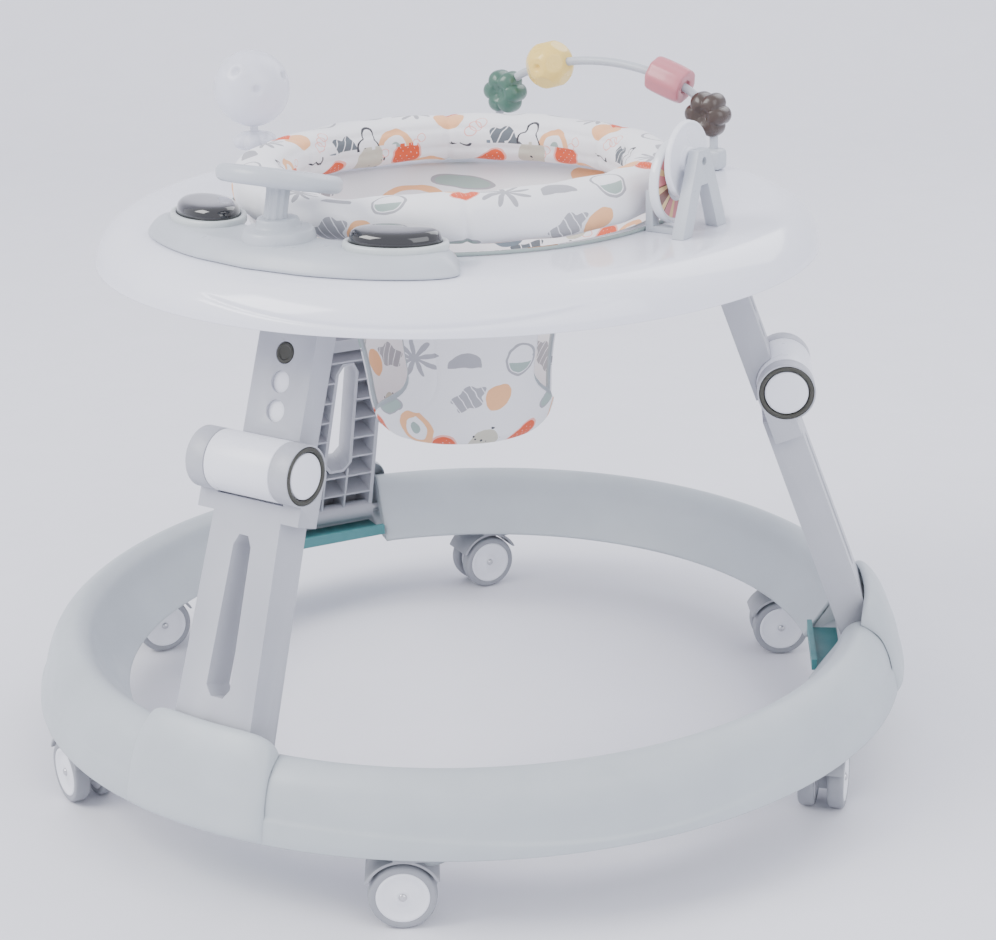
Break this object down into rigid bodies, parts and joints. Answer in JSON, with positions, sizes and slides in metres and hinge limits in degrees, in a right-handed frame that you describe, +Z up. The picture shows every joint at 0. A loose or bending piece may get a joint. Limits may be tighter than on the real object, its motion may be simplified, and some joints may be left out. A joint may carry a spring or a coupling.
{
  "type": "baby walker",
  "caption": "Round folding baby walker: padded fabric sling seat in a tray with toys, carried on jointed legs by a ring on swivel casters.",
  "frame": {"origin": "on the floor, under the middle of the base ring", "axes": "+Z up; the leg under the play panel is towards -Y"},
  "size_m": [0.7118, 0.7053, 0.546],
  "materials": {
    "ring_grey": "satin moulded plastic",
    "leg_grey": "satin moulded plastic",
    "liner_teal": "moulded plastic",
    "steel": "plain pin steel",
    "caster_grey": "moulded plastic",
    "wheel_white": "white hub with a grey soft tread",
    "gloss_white": "glossy moulded plastic",
    "post_white": "moulded plastic",
    "dark_olive": "moulded plastic",
    "seat_fabric": "printed woven cloth over wadding",
    "panel_grey": "satin moulded plastic",
    "dome_black": "polished plastic",
    "clear_plastic": "cloudy clear plastic",
    "bead_brown": "moulded plastic",
    "bead_green": "moulded plastic",
    "bead_pink": "moulded plastic",
    "bead_yellow": "moulded plastic",
    "picture": "printed plastic"
  },
  "bodies": {
    "base": {"base_ring": "ring_grey", "leg_socket_covers": "ring_grey", "foot_pivot_pins": "steel", "foot_liners": "liner_teal"},
    "front_lower": {"front_lower_leg": "leg_grey", "front_knee_rings_and_pin": "dark_olive"},
    "right_lower": {"right_lower_leg": "leg_grey", "right_knee_rings_and_pin": "dark_olive"},
    "left_lower": {"left_lower_leg": "leg_grey", "left_knee_rings_and_pin": "dark_olive"},
    "front_upper": {"front_leg_sleeve": "leg_grey", "front_leg_post": "post_white", "front_knee_barrel": "post_white"},
    "right_upper": {"right_leg_sleeve": "leg_grey", "right_leg_post": "post_white", "right_knee_barrel": "post_white"},
    "left_upper": {"left_leg_sleeve": "leg_grey", "left_leg_post": "post_white", "left_knee_barrel": "post_white"},
    "tray": {"tray_top": "gloss_white", "tray_brackets": "gloss_white", "tray_pivot_pins": "steel", "seat_rim_pad": "seat_fabric", "seat_sling": "seat_fabric", "play_panel": "panel_grey", "rattle_post": "clear_plastic", "bead_arch": "panel_grey", "spinner_stand": "panel_grey"},
    "front_knee_button_a": {"front_knee_button_a": "post_white"},
    "front_knee_button_b": {"front_knee_button_b": "post_white"},
    "front_height_button": {"front_height_button": "dark_olive"},
    "right_knee_button_a": {"right_knee_button_a": "post_white"},
    "right_knee_button_b": {"right_knee_button_b": "post_white"},
    "right_height_button": {"right_height_button": "dark_olive"},
    "left_knee_button_a": {"left_knee_button_a": "post_white"},
    "left_knee_button_b": {"left_knee_button_b": "post_white"},
    "left_height_button": {"left_height_button": "dark_olive"},
    "caster_1": {"caster_fork_1": "caster_grey"},
    "caster_1_wheels": {"caster_wheels_1": "wheel_white"},
    "caster_2": {"caster_fork_2": "caster_grey"},
    "caster_2_wheels": {"caster_wheels_2": "wheel_white"},
    "caster_3": {"caster_fork_3": "caster_grey"},
    "caster_3_wheels": {"caster_wheels_3": "wheel_white"},
    "caster_4": {"caster_fork_4": "caster_grey"},
    "caster_4_wheels": {"caster_wheels_4": "wheel_white"},
    "caster_5": {"caster_fork_5": "caster_grey"},
    "caster_5_wheels": {"caster_wheels_5": "wheel_white"},
    "caster_6": {"caster_fork_6": "caster_grey"},
    "caster_6_wheels": {"caster_wheels_6": "wheel_white"},
    "left_dome": {"left_push_dome": "dome_black"},
    "right_dome": {"right_push_dome": "dome_black"},
    "steering": {"steering_wheel": "panel_grey"},
    "rattle": {"rattle_ball": "clear_plastic"},
    "clear_bead": {"clear_flower_bead": "clear_plastic"},
    "brown_bead": {"brown_flower_bead": "bead_brown"},
    "green_bead": {"green_flower_bead": "bead_green"},
    "pink_bead": {"pink_cylinder_bead": "bead_pink"},
    "yellow_bead": {"yellow_ball_bead": "bead_yellow"},
    "white_disc": {"white_spinner_disc": "gloss_white"},
    "picture_disc": {"picture_spinner_disc": "picture"}
  },
  "joints": [
    {"name": "fold", "type": "hinge", "parent": "base", "child": "front_lower", "pos_m": [0, -0.31002, 0.08404], "axis": [-1, 0, 0], "range_deg": [0, 47]},
    {"name": "front_knee_turn", "type": "hinge", "parent": "front_lower", "child": "front_upper", "pos_m": [0, -0.255, 0.301], "axis": [1, 0, 0], "range_deg": [0, 129.9]},
    {"name": "tray_turn", "type": "hinge", "parent": "front_upper", "child": "tray", "pos_m": [0, -0.22002, 0.41203], "axis": [-1, 0, 0], "range_deg": [0, 82.9]},
    {"name": "front_knee_press_a", "type": "slide", "parent": "front_lower", "child": "front_knee_button_a", "axis": [1, 0, 0], "range_m": [0, 0.0025], "stiffness_N_per_m": 600, "springref_m": -0.003},
    {"name": "front_knee_press_b", "type": "slide", "parent": "front_lower", "child": "front_knee_button_b", "axis": [-1, 0, 0], "range_m": [0, 0.0025], "stiffness_N_per_m": 600, "springref_m": -0.003},
    {"name": "front_height_press", "type": "slide", "parent": "front_upper", "child": "front_height_button", "axis": [0, 0.9397, -0.342], "range_m": [0, 0.003], "stiffness_N_per_m": 500, "springref_m": -0.003},
    {"name": "right_foot_turn", "type": "hinge", "parent": "base", "child": "right_lower", "pos_m": [0.26849, 0.15501, 0.08404], "axis": [0.5, -0.866, 0], "range_deg": [0, 47]},
    {"name": "right_knee_turn", "type": "hinge", "parent": "right_lower", "child": "right_upper", "pos_m": [0.22084, 0.1275, 0.301], "axis": [-0.5, 0.866, 0], "range_deg": [0, 129.9]},
    {"name": "right_knee_press_a", "type": "slide", "parent": "right_lower", "child": "right_knee_button_a", "axis": [-0.5, 0.866, 0], "range_m": [0, 0.0025], "stiffness_N_per_m": 600, "springref_m": -0.003},
    {"name": "right_knee_press_b", "type": "slide", "parent": "right_lower", "child": "right_knee_button_b", "axis": [0.5, -0.866, 0], "range_m": [0, 0.0025], "stiffness_N_per_m": 600, "springref_m": -0.003},
    {"name": "right_height_press", "type": "slide", "parent": "right_upper", "child": "right_height_button", "axis": [-0.8138, -0.4698, -0.342], "range_m": [0, 0.003], "stiffness_N_per_m": 500, "springref_m": -0.003},
    {"name": "left_foot_turn", "type": "hinge", "parent": "base", "child": "left_lower", "pos_m": [-0.26849, 0.15501, 0.08404], "axis": [0.5, 0.866, 0], "range_deg": [0, 47]},
    {"name": "left_knee_turn", "type": "hinge", "parent": "left_lower", "child": "left_upper", "pos_m": [-0.22084, 0.1275, 0.301], "axis": [-0.5, -0.866, 0], "range_deg": [0, 129.9]},
    {"name": "left_knee_press_a", "type": "slide", "parent": "left_lower", "child": "left_knee_button_a", "axis": [-0.5, -0.866, 0], "range_m": [0, 0.0025], "stiffness_N_per_m": 600, "springref_m": -0.003},
    {"name": "left_knee_press_b", "type": "slide", "parent": "left_lower", "child": "left_knee_button_b", "axis": [0.5, 0.866, 0], "range_m": [0, 0.0025], "stiffness_N_per_m": 600, "springref_m": -0.003},
    {"name": "left_height_press", "type": "slide", "parent": "left_upper", "child": "left_height_button", "axis": [0.8138, -0.4698, -0.342], "range_m": [0, 0.003], "stiffness_N_per_m": 500, "springref_m": -0.003},
    {"name": "caster_1_swivel", "type": "hinge", "parent": "base", "child": "caster_1", "pos_m": [0.324, 0, 0.06], "axis": [0, 0, 1], "continuous": true},
    {"name": "caster_1_roll", "type": "hinge", "parent": "caster_1", "child": "caster_1_wheels", "pos_m": [0.31716, 0.01879, 0.0245], "axis": [-0.9397, -0.342, 0], "continuous": true},
    {"name": "caster_2_swivel", "type": "hinge", "parent": "base", "child": "caster_2", "pos_m": [0.162, 0.28059, 0.06], "axis": [0, 0, 1], "continuous": true},
    {"name": "caster_2_roll", "type": "hinge", "parent": "caster_2", "child": "caster_2_wheels", "pos_m": [0.14582, 0.26884, 0.0245], "axis": [0.5878, -0.809, 0], "continuous": true},
    {"name": "caster_3_swivel", "type": "hinge", "parent": "base", "child": "caster_3", "pos_m": [-0.162, 0.28059, 0.06], "axis": [0, 0, 1], "continuous": true},
    {"name": "caster_3_roll", "type": "hinge", "parent": "caster_3", "child": "caster_3_wheels", "pos_m": [-0.1717, 0.2631, 0.0245], "axis": [0.8746, -0.4848, 0], "continuous": true},
    {"name": "caster_4_swivel", "type": "hinge", "parent": "base", "child": "caster_4", "pos_m": [-0.324, 0, 0.06], "axis": [0, 0, 1], "continuous": true},
    {"name": "caster_4_roll", "type": "hinge", "parent": "caster_4", "child": "caster_4_wheels", "pos_m": [-0.3337, -0.01749, 0.0245], "axis": [0.8746, -0.4848, 0], "continuous": true},
    {"name": "caster_5_swivel", "type": "hinge", "parent": "base", "child": "caster_5", "pos_m": [-0.162, -0.28059, 0.06], "axis": [0, 0, 1], "continuous": true},
    {"name": "caster_5_roll", "type": "hinge", "parent": "caster_5", "child": "caster_5_wheels", "pos_m": [-0.18027, -0.27246, 0.0245], "axis": [-0.4067, -0.9135, 0], "continuous": true},
    {"name": "caster_6_swivel", "type": "hinge", "parent": "base", "child": "caster_6", "pos_m": [0.162, -0.28059, 0.06], "axis": [0, 0, 1], "continuous": true},
    {"name": "caster_6_roll", "type": "hinge", "parent": "caster_6", "child": "caster_6_wheels", "pos_m": [0.14582, -0.29235, 0.0245], "axis": [0.5878, -0.809, 0], "continuous": true},
    {"name": "left_dome_press", "type": "slide", "parent": "tray", "child": "left_dome", "axis": [0, 0, -1], "range_m": [0, 0.003], "stiffness_N_per_m": 700, "springref_m": -0.002},
    {"name": "right_dome_press", "type": "slide", "parent": "tray", "child": "right_dome", "axis": [0, 0, -1], "range_m": [0, 0.003], "stiffness_N_per_m": 700, "springref_m": -0.002},
    {"name": "steering_turn", "type": "hinge", "parent": "tray", "child": "steering", "pos_m": [-0.00708, -0.20288, 0.498], "axis": [0.0084, 0.2418, 0.9703], "continuous": true},
    {"name": "rattle_turn", "type": "hinge", "parent": "tray", "child": "rattle", "pos_m": [-0.202, 0, 0.515], "axis": [0, 0, 1], "continuous": true},
    {"name": "clear_bead_turn", "type": "hinge", "parent": "tray", "child": "clear_bead", "pos_m": [-0.202, 0, 0.472], "axis": [0, 0, 1], "continuous": true},
    {"name": "brown_bead_turn", "type": "hinge", "parent": "tray", "child": "brown_bead", "pos_m": [0.10933, 0.20051, 0.48682], "axis": [-0.4847, 0.0118, 0.8746], "continuous": true},
    {"name": "green_bead_turn", "type": "hinge", "parent": "tray", "child": "green_bead", "pos_m": [-0.09313, 0.20546, 0.48885], "axis": [-0.5298, 0.0129, -0.848], "continuous": true},
    {"name": "pink_bead_turn", "type": "hinge", "parent": "tray", "child": "pink_bead", "pos_m": [0.07283, 0.2014, 0.51177], "axis": [-0.9518, 0.0233, 0.3057], "continuous": true},
    {"name": "yellow_bead_turn", "type": "hinge", "parent": "tray", "child": "yellow_bead", "pos_m": [-0.04601, 0.20431, 0.51519], "axis": [-0.9679, 0.0237, -0.2504], "continuous": true},
    {"name": "white_disc_turn", "type": "hinge", "parent": "tray", "child": "white_disc", "pos_m": [0.201, 0.005, 0.494], "axis": [1, 0, 0], "continuous": true},
    {"name": "picture_disc_turn", "type": "hinge", "parent": "tray", "child": "picture_disc", "pos_m": [0.192, 0.005, 0.478], "axis": [1, 0, 0], "continuous": true}
  ],
  "couplings": [
    {"joint": "front_knee_turn", "follows": "fold", "ratio": 2.762},
    {"joint": "tray_turn", "follows": "fold", "ratio": 1.762},
    {"joint": "right_foot_turn", "follows": "fold", "ratio": 1},
    {"joint": "right_knee_turn", "follows": "fold", "ratio": 2.762},
    {"joint": "left_foot_turn", "follows": "fold", "ratio": 1},
    {"joint": "left_knee_turn", "follows": "fold", "ratio": 2.762}
  ]
}
